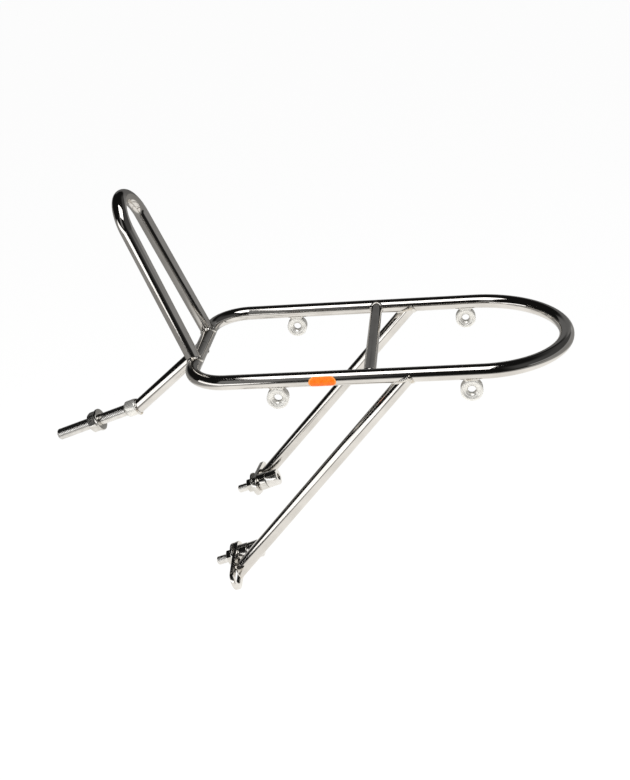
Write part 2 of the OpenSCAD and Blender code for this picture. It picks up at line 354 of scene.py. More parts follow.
def badge_border():
    """Slightly paler orange rim of the badge, with the same faint painted glow from emission."""
    material, n, bsdf = shader("badge_border", 0.0)
    place = n.add("ShaderNodeTexCoord").outputs["Object"]
    cloud = n.noise(place, 600, 4)
    n.link(n.blend(cloud, (1.0, 0.28, 0.03), (1.0, 0.38, 0.08)), bsdf, "Base Color")
    # painted glow: emission on the rim, which is no lamp
    bsdf.inputs["Emission Color"].default_value = (1.0, 0.30, 0.03, 1)
    bsdf.inputs["Emission Strength"].default_value = 0.10
    n.link(n.ramp(cloud, 0.3, 0.7, 0.3, 0.5), bsdf, "Roughness")
    n.link(n.bump(cloud, 0.00005, 0.3), bsdf, "Normal")
    return material


TUBE = polished_tube()
FITTING = polished_fitting()
SATIN = satin_steel()
FASTENER = plated_fastener()
THREAD = thread_steel()
WELD = weld_metal()
BADGE = badge_face()
BORDER = badge_border()

# ---------------------------------------------------------------- mesh helpers

COARSE = 64        # points round a tube
ROUND = 96         # points round a nut, a washer or another turned piece
THREADED = 60      # points round a threaded rod
FINE = 240         # points round a weld before it is spaced evenly
SHARP = 40         # angle between faces, in degrees, from which their edge is sharp


def piece(name, points, faces, material, body, nodes=(), sharp=SHARP, straight=None):
    """Makes a mesh object in the rack's frame from design points, and fastens it to its body."""
    mesh = bpy.data.meshes.new(name)
    mesh.from_pydata([tuple(p) for p in at(points)], [], faces)
    if straight is not None:
        attribute = mesh.attributes.new("straight", "FLOAT_VECTOR", "POINT")
        attribute.data.foreach_set("vector", (np.asarray(straight, float) * MM).ravel())
    bm = bmesh.new()
    bm.from_mesh(mesh)
    bmesh.ops.recalc_face_normals(bm, faces=bm.faces)
    bm.to_mesh(mesh)
    bm.free()
    mesh.polygons.foreach_set("use_smooth", [True] * len(mesh.polygons))
    mesh.set_sharp_from_angle(angle=math.radians(sharp))
    mesh.materials.append(material)
    obj = bpy.data.objects.new(name, mesh)
    bpy.context.scene.collection.objects.link(obj)
    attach(obj, body)
    if nodes:
        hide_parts(*nodes)
    return obj


def skin(rings, closed=False):
    """Points and faces of a skin over rings of points, rows by columns. A closed skin joins
    its last row to its first; an open one has a fan over each end."""
    rows, cols, _ = rings.shape
    points = rings.reshape(-1, 3)
    faces = []
    for i in range(rows if closed else rows - 1):
        a, b = i * cols, (i + 1) % rows * cols
        for j in range(cols):
            k = (j + 1) % cols
            faces.append((a + j, a + k, b + k, b + j))
    if not closed:
        for row, flip in ((0, True), (rows - 1, False)):
            centre = len(points)
            points = np.vstack([points, rings[row].mean(0)])
            for j in range(cols):
                pair = (row * cols + j, row * cols + (j + 1) % cols)
                faces.append((*(pair[::-1] if flip else pair), centre))
    return points, faces


def carried_frames(path):
    """Two side directions along a path, carried along it without twist."""
    path = np.asarray(path, float)
    tangents = unit(np.gradient(path, axis=0))
    tangents[0], tangents[-1] = unit(path[1] - path[0]), unit(path[-1] - path[-2])
    start = np.array([0, 0, 1.0]) if abs(tangents[0][2]) < 0.9 else np.array([0, 1.0, 0])
    side = unit(start - tangents[0] * (start @ tangents[0]))
    sides = []
    for t in tangents:
        side = unit(side - t * (side @ t))
        sides.append(side)
    sides = np.array(sides)
    return sides, np.cross(tangents, sides)


def around(count):
    """Angles of count points round a circle."""
    return np.arange(count) * TAU / count


def tube_rings(path, radius):
    """Rings of points along a path, and the same points with the tube straightened."""
    path = np.asarray(path, float)
    side, other = carried_frames(path)
    turn = around(COARSE)
    ring = side[:, None] * np.cos(turn)[None, :, None] + other[:, None] * np.sin(turn)[None, :, None]
    run = np.concatenate([[0], np.cumsum(np.linalg.norm(np.diff(path, axis=0), axis=1))])
    flat = np.stack(np.broadcast_arrays(radius * np.cos(turn)[None], radius * np.sin(turn)[None],
                                        run[:, None]), -1)
    return path[:, None] + ring * radius, flat


def reach_cylinder(points, direction, centre, axis, radius):
    """Where lines from points along direction first meet a cylinder. A line that passes just
    outside the cylinder gives its nearest point to it."""
    rel = points - centre
    rel = rel - axis * (rel @ axis)[:, None]
    d = direction - axis * (direction @ axis)
    a, b, c = d @ d, rel @ d, (rel * rel).sum(1) - radius**2
    root = np.sqrt(np.maximum(b * b - a * c, 0))
    return points + direction * ((-b - root) / a)[:, None]


def reach_plane(points, direction, centre, normal):
    """Where lines from points along direction meet a plane."""
    return points + direction * (((centre - points) @ normal) / (direction @ normal))[:, None]


def cylinder_normals(points, centre, axis):
    """Outward directions of a cylinder at points on it."""
    rel = points - centre
    return unit(rel - axis * (rel @ axis)[:, None])


def straight_tube(name, start_ring, end_ring, radius, node, rows=40):
    """Straight tube of the rack between two end rings of matching points."""
    share = np.linspace(0, 1, rows)[:, None, None]
    rings = start_ring[None] * (1 - share) + end_ring[None] * share
    turn = around(rings.shape[1])
    run = np.linalg.norm(rings - rings[:1], axis=2)
    flat = np.stack([np.broadcast_to(radius * np.cos(turn), run.shape),
                     np.broadcast_to(radius * np.sin(turn), run.shape), run], -1)
    points, faces = skin(rings)
    flat = np.vstack([flat.reshape(-1, 3), flat[0].mean(0), flat[-1].mean(0)])
    piece(name, points, faces, TUBE, "rack", [node], straight=flat)


def ring_about(centre, direction, radius, count):
    """Ring of points about a centre, square to direction, and their outward directions."""
    direction = unit(direction)
    start = np.array([0, 1.0, 0]) if abs(direction[1]) < 0.9 else np.array([0, 0, 1.0])
    side = unit(start - direction * (start @ direction))
    other = np.cross(direction, side)
    turn = around(count)[:, None]
    out = side * np.cos(turn) + other * np.sin(turn)
    return centre + out * radius, out


# ---------------------------------------------------------------- welds

RIPPLE = 1.15           # distance from one ripple of a weld to the next
RIPPLE_STEPS = 6
RIPPLE_DEPTH = 0.20     # share of a bead's height
RIPPLE_SPREAD = 0.06    # share of a bead's width
RIPPLE_CURVE = 0.45     # how far a ripple's sides trail its middle, in ripples
SWELL = 0.07            # share by which a bead swells and shrinks along it
SWELL_WAVES = (2, 3, 5, 8, 13)
BEAD_COLS = 16          # points round a bead
BEADS = {
    # width and height
    "closing": (1.8, 0.10),
    "crossbar": (2.6, 0.9),
    "backstop": (3.0, 1.0),
    "stay_top": (1.8, 0.4),
    "stay_foot": (2.6, 0.9),
    "strut_top": (3.0, 1.0),
    "strut_foot": (0.9, 0.35),
    "stud": (1.5, 0.55),
    "eyelet": (2.2, 0.8),
}


def resampled(loop, *others):
    """A closed loop of points, and values that go with them, at even steps along it."""
    closed = np.vstack([loop, loop[:1]])
    run = np.concatenate([[0], np.cumsum(np.linalg.norm(np.diff(closed, axis=0), axis=1))])
    ripples = max(6, round(run[-1] / RIPPLE))
    steps = np.linspace(0, run[-1], ripples * RIPPLE_STEPS, endpoint=False)

    def spread(values):
        values = np.vstack([values, values[:1]])
        return np.stack([np.interp(steps, run, values[:, k]) for k in range(3)], 1)

    return [spread(v) for v in (loop, *others)]


def weld(name, loop, normals_a, normals_b, bead, seed):
    """Rippled bead along the closed line where two surfaces meet, given each one's normals.
    Its width and height swell and shrink a little along it."""
    width, height = BEADS[bead]
    loop, normals_a, normals_b = resampled(loop, normals_a, normals_b)
    out = unit(normals_a + normals_b)
    along = unit(np.roll(loop, -1, 0) - np.roll(loop, 1, 0))
    across = unit(np.cross(along, out))
    count = len(loop)
    turn = around(BEAD_COLS)
    rng = np.random.default_rng(seed)
    where = np.arange(count) / count * TAU
    swell = sum(rng.uniform(-1, 1) * np.sin(k * where + rng.uniform(0, TAU)) / k**0.5
                for k in SWELL_WAVES)
    swell = 1 + SWELL * swell
    phase = np.arange(count)[:, None] / RIPPLE_STEPS - RIPPLE_CURVE * np.cos(turn)[None] ** 2
    ripple = 1 - RIPPLE_DEPTH + RIPPLE_DEPTH * np.abs(np.sin(math.pi * phase))
    widen = 1 - RIPPLE_SPREAD + RIPPLE_SPREAD * ripple
    rise = height * swell[:, None] * ripple * np.sin(turn)[None]
    spread = width / 2 * swell[:, None] * widen * np.cos(turn)[None]
    rings = loop[:, None] + out[:, None] * rise[..., None] + across[:, None] * spread[..., None]
    points, faces = skin(rings, closed=True)
    piece(name, points, faces, WELD, "rack", sharp=60)


# ---------------------------------------------------------------- tubes

X_AXIS = np.array([1.0, 0, 0])
Y_AXIS = np.array([0, 1.0, 0])
Z_AXIS = np.array([0, 0, 1.0])
UNDER = 0.4        # how far a welded tube's end reaches into the other tube's wall


def arc(centre, radius, start, turn, step=1.5):
    """Points of an arc in the platform's plane, angles in degrees."""
    angles = np.radians(np.linspace(start, start + turn, int(abs(turn) / step) + 1))
    return [centre + radius * np.array([math.cos(a), math.sin(a), 0]) for a in angles]


def spaced(a, b, step=5.0):
    """Points from a to b, without b."""
    count = max(1, int(np.linalg.norm(b - a) / step))
    return [a + (b - a) * k / count for k in range(count)]


def platform_hoop():
    """One bent tube whose ends meet in the middle of the end tube, under a flush weld."""
    half = BUTT_GAP / 2
    y0, x1 = RAIL_Y - CORNER_R, TIP_X - RAIL_Y
    path = spaced(np.array([0, half, 0]), np.array([0, y0, 0]))
    path += arc(np.array([CORNER_R, y0, 0]), CORNER_R, 180, -90)[:-1]
    path += spaced(np.array([CORNER_R, RAIL_Y, 0]), np.array([x1, RAIL_Y, 0]))
    path += arc(np.array([x1, 0, 0]), RAIL_Y, 90, -180)[:-1]
    path += spaced(np.array([x1, -RAIL_Y, 0]), np.array([CORNER_R, -RAIL_Y, 0]))
    path += arc(np.array([CORNER_R, -y0, 0]), CORNER_R, 270, -90)[:-1]
    path += spaced(np.array([0, -y0, 0]), np.array([0, -half, 0])) + [np.array([0, -half, 0])]
    rings, flat = tube_rings(path, TUBE_R)
    points, faces = skin(rings)
    flat = np.vstack([flat.reshape(-1, 3), flat[0].mean(0), flat[-1].mean(0)])
    piece("platform_tube", points, faces, TUBE, "rack",
          ["platform_hoop"], straight=flat)
    loop, out = ring_about(np.zeros(3), Y_AXIS, TUBE_R, FINE)
    weld("closing_weld", loop, out, out, "closing", 1)


def crossbar():
    """Thinner tube across the platform, its ends shaped to the rails."""
    rail = np.array([0, RAIL_Y, 0])
    ends = []
    for name, side in SIDES.items():
        axis = side * Y_AXIS
        for count, short in ((COARSE, UNDER), (FINE, 0)):
            loop, out = ring_about(np.array([CROSSBAR_X, 0, 0]), Y_AXIS, CROSSBAR_R, count)
            loop = reach_cylinder(loop, axis, rail * side, X_AXIS, TUBE_R - short)
            if short:
                ends.append(loop)
        weld(f"crossbar_weld_{name}", loop, out, cylinder_normals(loop, rail * side, X_AXIS),
             "crossbar", 3 + side)
    straight_tube("crossbar_tube", *ends, CROSSBAR_R, "crossbar")


def backstop_hoop():
    """Two legs that lean and splay, joined by a round top, in one leaning plane."""
    up = np.array([-math.sin(BACKSTOP_LEAN), 0, math.cos(BACKSTOP_LEAN)])
    top_s = BACKSTOP_H - BACKSTOP_TOP_R
    splay = math.atan(BACKSTOP_FOOT_Y / top_s) - math.asin(
        BACKSTOP_TOP_R / math.hypot(BACKSTOP_FOOT_Y, top_s))
    angles = np.linspace(splay, math.pi - splay, 130)
    top = [top_s * up + BACKSTOP_TOP_R * (math.cos(a) * Y_AXIS + math.sin(a) * up)
           for a in angles]
    feet = {side: np.array([0, side * BACKSTOP_FOOT_Y, 0]) for side in (1, -1)}
    low = 10.0     # where the straightened rings begin, above the mitre
    path = spaced(feet[1] + unit(top[0] - feet[1]) * low, top[0]) + top
    path += spaced(top[-1], feet[-1] + unit(top[-1] - feet[-1]) * low)[1:]
    path += [feet[-1] + unit(top[-1] - feet[-1]) * low]
    rings, flat = tube_rings(path, TUBE_R)
    cuts = []
    for row, side, end in ((0, 1, top[0]), (-1, -1, top[-1])):
        down = unit(feet[side] - end)
        cuts.append(reach_cylinder(rings[row], down, np.zeros(3), Y_AXIS, TUBE_R - UNDER))
        loop, normals = ring_about(feet[side] - down * low, down, TUBE_R, FINE)
        loop = reach_cylinder(loop, down, np.zeros(3), Y_AXIS, TUBE_R)
        weld(f"backstop_weld_{'right' if side > 0 else 'left'}", loop, normals,
             cylinder_normals(loop, np.zeros(3), Y_AXIS), "backstop", 7 + side)
    rings = np.concatenate([cuts[0][None], rings, cuts[1][None]])
    flat = np.concatenate([flat[:1] - [0, 0, low], flat, flat[-1:] + [0, 0, low]])
    points, faces = skin(rings)
    flat = np.vstack([flat.reshape(-1, 3), flat[0].mean(0), flat[-1].mean(0)])
    piece("backstop_tube", points, faces, TUBE, "rack",
          ["backstop_hoop"], straight=flat)


STUD_DIR = np.array([-math.cos(STUD_TILT), 0, -math.sin(STUD_TILT)])


def centre_stay():
    """Tube from the end tube down to the back face of the boss."""
    run = unit(STAY_FOOT - STAY_TOP)
    middle = (STAY_TOP + STAY_FOOT) / 2
    back = BOSS_AT - STUD_DIR * BOSS_L / 2
    ends = {}
    for count in (COARSE, FINE):
        ring, out = ring_about(middle, run, TUBE_R, count)
        short = UNDER if count < FINE else 0
        upper = reach_cylinder(ring, -run, np.zeros(3), Y_AXIS, TUBE_R - short)
        lower = reach_plane(ring, run, back, STUD_DIR)
        ends[count] = (upper, lower, out)
    straight_tube("stay_tube", *ends[COARSE][:2], TUBE_R, "centre_stay")
    upper, lower, out = ends[FINE]
    weld("stay_weld_top", upper, out, cylinder_normals(upper, np.zeros(3), Y_AXIS),
         "stay_top", 11)
    weld("stay_weld_foot", lower, out, np.broadcast_to(-STUD_DIR, lower.shape),
         "stay_foot", 12)


def at_tab(side):
    """Matrix of the bolt's own axes: X outwards along the tab, Z forwards along the bolt."""
    place = BOLT_AT * [1, side, 1]
    tilt = Matrix.Rotation(-math.pi / 2 - BOLT_TILT, 3, "Y")
    return place, np.array(tilt @ Matrix.Rotation(side * math.pi / 2, 3, "Z"))


def strut(name, side):
    """Straight tube from under the rail down to the back of the tab."""
    top = np.array([STRUT_TOP_X, side * RAIL_Y, 0])
    foot = STRUT_FOOT * [1, side, 1]
    run = unit(foot - top)
    rail = np.array([0, side * RAIL_Y, 0])
    place, turn = at_tab(side)
    forward = turn[:, 2]
    behind = place - forward * TAB_T
    ends = {}
    for count in (COARSE, FINE):
        ring, out = ring_about((top + foot) / 2, run, TUBE_R, count)
        short = UNDER if count < FINE else 0
        ends[count] = (reach_cylinder(ring, -run, rail, X_AXIS, TUBE_R - short),
                       reach_plane(ring, run, behind, forward), out)
    straight_tube(f"{name}_strut_tube", *ends[COARSE][:2], TUBE_R, f"{name}_strut", rows=60)
    upper, lower, out = ends[FINE]
    weld(f"{name}_strut_weld_top", upper, out, cylinder_normals(upper, rail, X_AXIS),
         "strut_top", 21 + side)
    weld(f"{name}_strut_weld_foot", lower, out, np.broadcast_to(-forward, lower.shape),
         "strut_foot", 25 + side)


# ---------------------------------------------------------------- turned parts


def hex_radius(across_flats, turn):
    """Radius of a hexagon at each angle, its corners just broken."""
    flat = across_flats / 2
    radius = flat / np.cos((turn + math.pi / 6) % (math.pi / 3) - math.pi / 6)
    return np.minimum(radius, flat / math.cos(math.pi / 6) * 0.988)


THREAD_DEPTH = 0.10     # of the pitch
CREST = 0.50            # share of the pitch that the flat crest takes
ROOT = 0.9              # share of the pitch outside the flat root
THREAD_STEPS = 9        # rows of points in each turn
TIP_EASE = 0.8          # chamfer at the tip of a rod


def thread_radius(radius, pitch, turn, z):
    """Radius of a rolled thread at each angle and height."""
    place = (z / pitch - turn / TAU) % 1
    away = np.abs(place - 0.5) * 2
    return radius - THREAD_DEPTH * pitch * np.clip((away - CREST) / (ROOT - CREST), 0, 1)


def thread_rows(radius, pitch, turn, low, high):
    """Rows of a threaded rod, from low to high along it, with an eased tip."""
    rows = []
    for z in np.arange(low, high, pitch / THREAD_STEPS):
        limit = min(radius, radius - TIP_EASE + (high - z))
        start = radius - THREAD_DEPTH * pitch * min(1.0, (z - low) / pitch)
        rows.append((np.minimum(np.maximum(thread_radius(radius, pitch, turn, z), start), limit),
                     np.full_like(turn, z)))
    rows.append((np.full_like(turn, radius - TIP_EASE), np.full_like(turn, high)))
    return rows


def turned(rows, place, axes, turn):
    """Rings from rows of (radius, height), each a number or one value for each angle."""
    rings = []
    for radius, z in rows:
        radius = np.broadcast_to(radius, turn.shape)
        z = np.broadcast_to(z, turn.shape)
        local = np.stack([radius * np.cos(turn), radius * np.sin(turn), z], 1)
        rings.append(local @ axes.T + place)
    return np.array(rings)


def rounded(corners, radius, steps=4):
    """Closed profile of (radius, height) corners, each rounded off."""
    corners = [np.array(c, float) for c in corners]
    profile = []
    for k, corner in enumerate(corners):
        back, ahead = corners[k - 1] - corner, corners[(k + 1) % len(corners)] - corner
        cut = min(radius, np.linalg.norm(back) * 0.45, np.linalg.norm(ahead) * 0.45)
        a, b = corner + unit(back) * cut, corner + unit(ahead) * cut
        for t in np.linspace(0, 1, steps):
            profile.append((1 - t) ** 2 * a + 2 * t * (1 - t) * corner + t * t * b)
    return [(p[0], p[1]) for p in profile]


def closed_turning(name, rows, place, axes, material, body, node):
    """Turned ring or barrel, from a closed profile of (radius, height)."""
    points, faces = skin(turned(rows, place, axes, around(ROUND)), closed=True)
    piece(name, points, faces, material, body, [node])


def along_stud():
    """Middle of the boss, and the matrix of axes whose Z points forwards along the stud."""
    tilt = Matrix.Rotation(-math.pi / 2 - STUD_TILT, 3, "Y")
    return BOSS_AT, np.array(tilt)


def stay_boss():
    """Barrel that holds the stud, with rounded ends."""
    place, axes = along_stud()
    back, front = -BOSS_L / 2, BOSS_L / 2
    profile = rounded([(1.0, back), (BOSS_R, back), (BOSS_R, front), (1.0, front)], 1.8)
    closed_turning("boss_barrel", profile, place, axes, SATIN, "rack",
                   "stay_boss")
    loop, out = ring_about(BOSS_AT + STUD_DIR * front, STUD_DIR, STUD_R, FINE)
    weld("stud_weld", loop, out, np.broadcast_to(STUD_DIR, loop.shape), "stud", 31)


STUD_SUNK = 2.0         # length of the stud inside the boss
NECK_R = STUD_R - 0.3   # radius of the plain neck between the boss and the thread
NECK_AT = 0.8           # where the neck is thinnest, from the boss's face
NECK_END = 1.2          # where the thread begins, from the boss's face


def bridge_stud():
    """Threaded rod with a short plain neck where it leaves the boss."""
    place, axes = along_stud()
    turn = around(THREADED)
    start = BOSS_L / 2
    neck = start + NECK_END
    rows = [(STUD_R - THREAD_DEPTH * STUD_PITCH, start - STUD_SUNK), (NECK_R, start + NECK_AT)]
    rows += thread_rows(STUD_R, STUD_PITCH, turn, neck, STUD_L)
    points, faces = skin(turned(rows, place, axes, turn))
    piece("stud_thread", points, faces, THREAD, "rack", ["bridge_stud"],
          sharp=50)


def washer(name, node, body, place, axes, outer, inner, low):
    """Stamped washer with rounded edges."""
    corners = [(inner, low), (outer, low), (outer, low + WASHER_T), (inner, low + WASHER_T)]
    closed_turning(name, rounded(corners, 0.35), place, axes, FASTENER, body, node)


NUT_FACE = 0.475        # radius of a nut's round face, as a share of the width across flats
NUT_EDGE = 0.12         # rounding where the cone meets the flats and the face
NUT_BREAK = 0.02
NUT_STEP = 0.03
NUT_SINK = 0.5          # depth and width of the countersink at each end of the bore


def nut(name, node, body, place, axes, across_flats, height, bore, low):
    """Hexagon nut with cone-cut corners and a countersunk bore."""
    turn = around(ROUND)
    face = NUT_FACE * across_flats
    hexagon = hex_radius(across_flats, turn)
    cone = np.maximum((hexagon - face) * math.tan(math.pi / 6), NUT_BREAK)
    edge, sink, top = NUT_EDGE, NUT_SINK, low + height
    rows = [(bore + sink, low), (face - edge, low), (face, low + NUT_STEP),
            (hexagon - edge, low + cone - NUT_BREAK), (hexagon, low + cone + edge),
            (hexagon, top - cone - edge), (hexagon - edge, top - cone + NUT_BREAK),
            (face, top - NUT_STEP), (face - edge, top),
            (bore + sink, top), (bore, top - sink), (bore, low + sink)]
    points, faces = skin(turned(rows, place, axes, turn), closed=True)
    piece(name, points, faces, FASTENER, body, [node], sharp=28)


def bridge_fasteners():
    """Washer and nut on the stud."""
    place, axes = along_stud()
    washer("stud_washer", "bridge_washer", "bridge_washer", place, axes,
           BRIDGE_WASHER_R, STUD_R + 0.2, WASHER_AT)
    nut("stud_nut", "bridge_nut", "bridge_nut", place, axes, BRIDGE_NUT_AF, BRIDGE_NUT_H,
        STUD_R + FACE_GAP, WASHER_AT + WASHER_T + FACE_GAP)


TAB_EDGE = 0.45         # rounding of the tab's edges
TAB_ARC_POINTS = 28     # points round each end of the tab


def tab(name, side):
    """Slotted plate: a rounded bar section carried round the slot."""
    place, axes = at_tab(side)
    hang = side * TAB_HANG
    spots, outs = [], []
    for centre, start in ((TAB_OUT, -90), (-TAB_IN, 90)):
        for a in np.radians(np.linspace(start, start + 180, TAB_ARC_POINTS)):
            spots.append((centre, 0))
            outs.append((math.cos(a), math.sin(a)))
    spots, outs = np.array(spots, float), np.array(outs)
    profile = rounded([(SLOT_W / 2, -TAB_T), (TAB_W / 2, -TAB_T), (TAB_W / 2, 0),
                       (SLOT_W / 2, 0)], TAB_EDGE)
    swing = np.array([[math.cos(hang), -math.sin(hang)], [math.sin(hang), math.cos(hang)]])
    rings = []
    for radius, z in profile:
        flat = (spots + outs * radius) @ swing.T
        local = np.column_stack([flat, np.full(len(flat), z)])
        rings.append(local @ axes.T + place)
    points, faces = skin(np.array(rings), closed=True)
    piece(f"{name}_tab_plate", points, faces, FITTING, "rack",
          [f"{name}_tab"])


SOCKET_EDGE = 0.45      # width and depth of the socket's chamfer
HEAD_RIM = [
    # in from the side of the bolt's head, down from its end: the rounded outer edge
    (1.0, 0), (0.45, 0.12), (0.12, 0.45), (0, 1.0),
]
HEAD_BACK = [
    # in from the side of the bolt's head, up from its seat: the eased inner edge
    (0, 0.7), (0.2, 0.2), (0.6, 0),
]


def bolt_set(name, side):
    """Socket-headed bolt, its spacer, washer and nut."""
    place, axes = at_tab(side)
    head = -TAB_T - FACE_GAP - SPACER_L
    rim = head - HEAD_L
    turn = around(THREADED)
    socket = hex_radius(SOCKET_AF, turn)
    corner = SOCKET_AF / 2 / math.cos(math.pi / 6)
    rows = [(socket * 0.97, rim + SOCKET_DEPTH), (socket, rim + SOCKET_DEPTH - 0.1),
            (socket, rim + SOCKET_EDGE), (corner + SOCKET_EDGE, rim + 0.02),
            (corner + 0.6, rim)]
    rows += [(HEAD_R - inwards, rim + down) for inwards, down in HEAD_RIM]
    rows += [(HEAD_R - inwards, head - up) for inwards, up in HEAD_BACK]
    rows += [(BOLT_R, head), (BOLT_R, -TAB_T - FACE_GAP)]
    rows += thread_rows(BOLT_R, BOLT_PITCH, turn, -TAB_T, BOLT_TIP)
    points, faces = skin(turned(rows, place, axes, turn))
    body = f"{name}_bolt_set"
    piece(f"{name}_bolt_screw", points, faces, THREAD, body,
          [f"{name}_bolt"], sharp=32)
    bore = BOLT_R + 0.1
    ends = head + 0.03, head + SPACER_L
    profile = rounded([(bore, ends[0]), (SPACER_R, ends[0]), (SPACER_R, ends[1]),
                       (bore, ends[1])], 0.4)
    closed_turning(f"{name}_spacer_ring", profile, place, axes, FASTENER, body,
                   f"{name}_spacer")
    washer(f"{name}_washer_ring", f"{name}_washer", f"{name}_washer", place, axes,
           SMALL_WASHER_R, BOLT_R + 0.2, FACE_GAP)
    nut(f"{name}_nut_hex", f"{name}_nut", f"{name}_nut", place, axes, SMALL_NUT_AF,
        SMALL_NUT_H, BOLT_R + FACE_GAP, WASHER_T + 2 * FACE_GAP)


# ---------------------------------------------------------------- eyelets and badge


EYELET_STEP = 0.45      # depth of the recess in each face
EYELET_LIP = 1.7        # width of the rim round the recess
LIP_SLOPE = 0.5         # width of the slope from the rim into the recess
SINK_DEPTH = 1.6        # where the bore's countersink ends, from the rim's face
SINK_W = 1.25
NECK_CORNER = 1.2       # rounding of the neck's four corners
NECK_INSET = 0.15       # how far the neck stands back from the eyelet's faces
NECK_CLEAR = 1.2        # distance from the bore's wall to the foot of the neck


def eyelet(end, name, side):
    """Turned eyelet with a stepped, countersunk face, on a short neck under the rail."""
    x = EYELET_X[end]
    centre = np.array([x, side * RAIL_Y, -EYELET_DROP])
    rail = np.array([0, side * RAIL_Y, 0])
    half = EYELET_T / 2
    axes = np.column_stack([X_AXIS, Z_AXIS, -Y_AXIS])
    recess = half - EYELET_STEP
    face = [(EYELET_BORE_R, half - SINK_DEPTH), (EYELET_BORE_R + SINK_W, recess),
            (EYELET_R - EYELET_LIP - LIP_SLOPE, recess), (EYELET_R - EYELET_LIP, half),
            (EYELET_R, half)]
    corners = [(r, -z) for r, z in face] + face[::-1]
    turning = turned(rounded(corners, 0.5), centre, axes, around(ROUND))
    points, faces = skin(turning, closed=True)
    piece(f"{end}_{name}_eyelet_ring", points, faces, SATIN, "rack",
          [f"{end}_{name}_eyelet"])
    loop, out = [], []
    for sx, sy, start in ((1, 1, 0), (-1, 1, 90), (-1, -1, 180), (1, -1, 270)):
        for a in np.radians(np.linspace(start, start + 90, 9)):
            out.append((math.cos(a), math.sin(a), 0))
            loop.append((sx * (NECK_W / 2 - NECK_CORNER),
                         sy * (half - NECK_INSET - NECK_CORNER), 0))
    out = np.array(out)
    loop = np.array(loop) + out * NECK_CORNER + centre
    top = reach_cylinder(loop, Z_AXIS, rail, X_AXIS, TUBE_R - UNDER)
    low = loop + [0, 0, EYELET_BORE_R + NECK_CLEAR]
    rings = np.array([low * (1 - s) + top * s for s in np.linspace(0, 1, 6)])
    points, faces = skin(rings)
    piece(f"{end}_{name}_eyelet_neck", points, faces, SATIN, "rack")
    seam = reach_cylinder(loop, Z_AXIS, rail, X_AXIS, TUBE_R)
    weld(f"{end}_{name}_eyelet_weld", seam, out, cylinder_normals(seam, rail, X_AXIS),
         "eyelet", 41 + side + int(x))


BADGE_RIM = 4       # how many of the badge's steps are its rim
BADGE_STEPS = [
    # share of the full outline, height above the rail; from the buried edge to the middle
    (1.0, -0.2), (1.0, 0.10), (0.985, 0.18), (0.95, 0.21), (0.90, 0.20), (0.885, 0.17),
    (0.87, 0.20), (0.7, 0.23), (0.5, 0.24), (0.3, 0.25), (0.1, 0.25),
]


def badge():
    """Thin oval that follows the rail's outer face, domed, with a narrow paler rim."""
    end_r = BADGE_H / 2
    reach = BADGE_L / 2 - end_r
    outline = []
    for centre, start in ((reach, -90), (-reach, 90)):
        for a in np.radians(np.linspace(start, start + 180, 40)):
            outline.append((centre + end_r * math.cos(a), end_r * math.sin(a)))
    outline = np.array(outline)
    turn_cos, turn_sin = math.cos(BADGE_TURN), math.sin(BADGE_TURN)
    rings = []
    for share, lift in BADGE_STEPS:
        flat = outline * share
        radius = TUBE_R + lift
        height = flat[:, 1]
        reach_out = np.sqrt(radius**2 - height**2)
        y = -RAIL_Y - reach_out * turn_cos - height * turn_sin
        z = height * turn_cos - reach_out * turn_sin
        rings.append(np.column_stack([BADGE_X + flat[:, 0], y, z]))
    points, faces = skin(np.array(rings))
    obj = piece("badge_oval", points, faces, BADGE, "rack", ["badge"])
    obj.data.materials.append(BORDER)
    for index in range(BADGE_RIM * len(outline)):
        obj.data.polygons[index].material_index = 1


platform_hoop()
crossbar()
backstop_hoop()
centre_stay()
stay_boss()
bridge_stud()
bridge_fasteners()
for side_name, side_sign in SIDES.items():
    strut(side_name, side_sign)
    tab(side_name, side_sign)
    bolt_set(side_name, side_sign)
    for end_name in EYELET_X:
        eyelet(end_name, side_name, side_sign)
badge()

# ---------------------------------------------------------------- studio


def floor():
    """Floor just under the lowest point: dark paper with a glow of its own. The camera sees
    the glow as even white; the steel sees a pool of light that fades to grey round the rack."""
    size, z = 9.0, cad_low.z - 0.0005
    mesh = bpy.data.meshes.new("floor")
    mesh.from_pydata([(-size, -size, z), (size, -size, z), (size, size, z), (-size, size, z)],
                     [], [(0, 1, 2, 3)])
    material, n, bsdf = shader("floor_paper", 0.0)
    place = n.add("ShaderNodeTexCoord").outputs["Object"]
    fibre = n.noise(place, 900, 3)
    n.link(n.blend(fibre, (0.12, 0.12, 0.12), (0.14, 0.14, 0.138)), bsdf, "Base Color")
    bsdf.inputs["Roughness"].default_value = 0.9
    bsdf.inputs["Specular IOR Level"].default_value = 0.0
    away = n.add("ShaderNodeVectorMath", operation="DISTANCE")
    n.link(place, away, 0)
    away.inputs[1].default_value = (*at(POOL_AT)[:2], z)
    pool = n.ramp(away.outputs["Value"], POOL_R[0], POOL_R[1], POOL_LIGHT, 0)
    split = n.add("ShaderNodeSeparateXYZ")
    n.link(place, split, "Vector")
    outside = n.ramp(split.outputs["Y"], PAPER_END[0], PAPER_END[1], ROOM_DARK, GREY_LIGHT)
    seen = n.add("ShaderNodeLightPath").outputs["Is Camera Ray"]
    n.link(n.blend(seen, (1.0, 0.985, 0.955), (1.0, 1.0, 1.0)), bsdf, "Emission Color")
    n.link(n.maths("MAXIMUM", n.maths("MULTIPLY", seen, PAPER_LIGHT),
                   n.maths("MAXIMUM", pool, outside)), bsdf, "Emission Strength")
    mesh.materials.append(material)
    obj = bpy.data.objects.new("floor", mesh)
    bpy.context.scene.collection.objects.link(obj)


